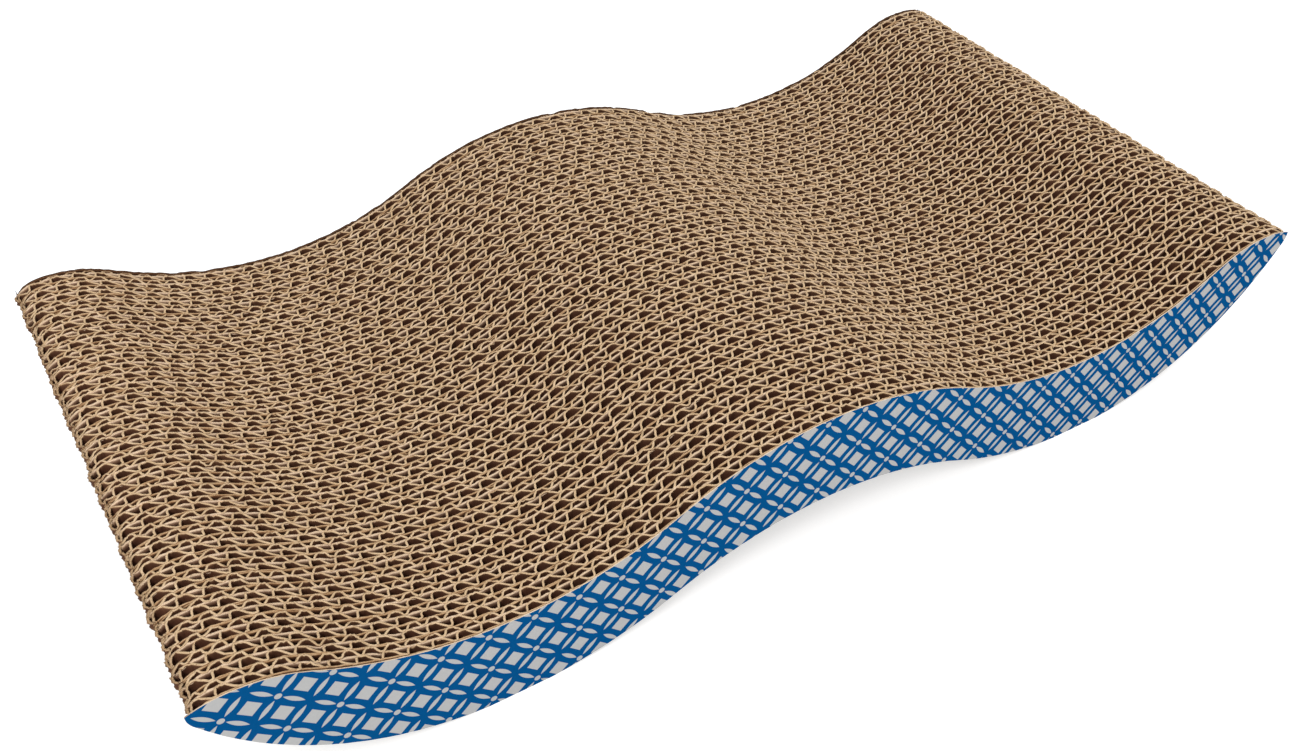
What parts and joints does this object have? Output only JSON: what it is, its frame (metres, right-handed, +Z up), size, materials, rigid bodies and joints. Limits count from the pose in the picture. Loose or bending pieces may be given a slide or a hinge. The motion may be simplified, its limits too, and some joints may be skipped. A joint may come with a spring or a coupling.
{
  "type": "cardboard cat scratcher",
  "caption": "Wavy lounge-shaped cat scratcher of upright corrugated board strips glued side by side, with printed paper on both long sides.",
  "frame": {"origin": "middle of the footprint, on the floor", "axes": "+X from tip to tip, +Y across the boards away from the front printed side, +Z up"},
  "size_m": [0.436, 0.2248, 0.063],
  "materials": {
    "kraft_board": "raw cut kraft paper",
    "printed_paper": "matt print"
  },
  "bodies": {
    "root": {"front_print_sheet": "printed_paper", "board_01": "kraft_board", "board_02": "kraft_board", "board_03": "kraft_board", "board_04": "kraft_board", "board_05": "kraft_board", "board_06": "kraft_board", "board_07": "kraft_board", "board_08": "kraft_board", "board_09": "kraft_board", "board_10": "kraft_board", "board_11": "kraft_board", "board_12": "kraft_board", "board_13": "kraft_board", "board_14": "kraft_board", "board_15": "kraft_board", "board_16": "kraft_board", "board_17": "kraft_board", "board_18": "kraft_board", "board_19": "kraft_board", "board_20": "kraft_board", "board_21": "kraft_board", "board_22": "kraft_board", "board_23": "kraft_board", "board_24": "kraft_board", "board_25": "kraft_board", "board_26": "kraft_board", "board_27": "kraft_board", "board_28": "kraft_board", "board_29": "kraft_board", "board_30": "kraft_board", "board_31": "kraft_board", "board_32": "kraft_board", "board_33": "kraft_board", "board_34": "kraft_board", "board_35": "kraft_board", "board_36": "kraft_board", "back_print_sheet": "printed_paper"}
  },
  "joints": []
}
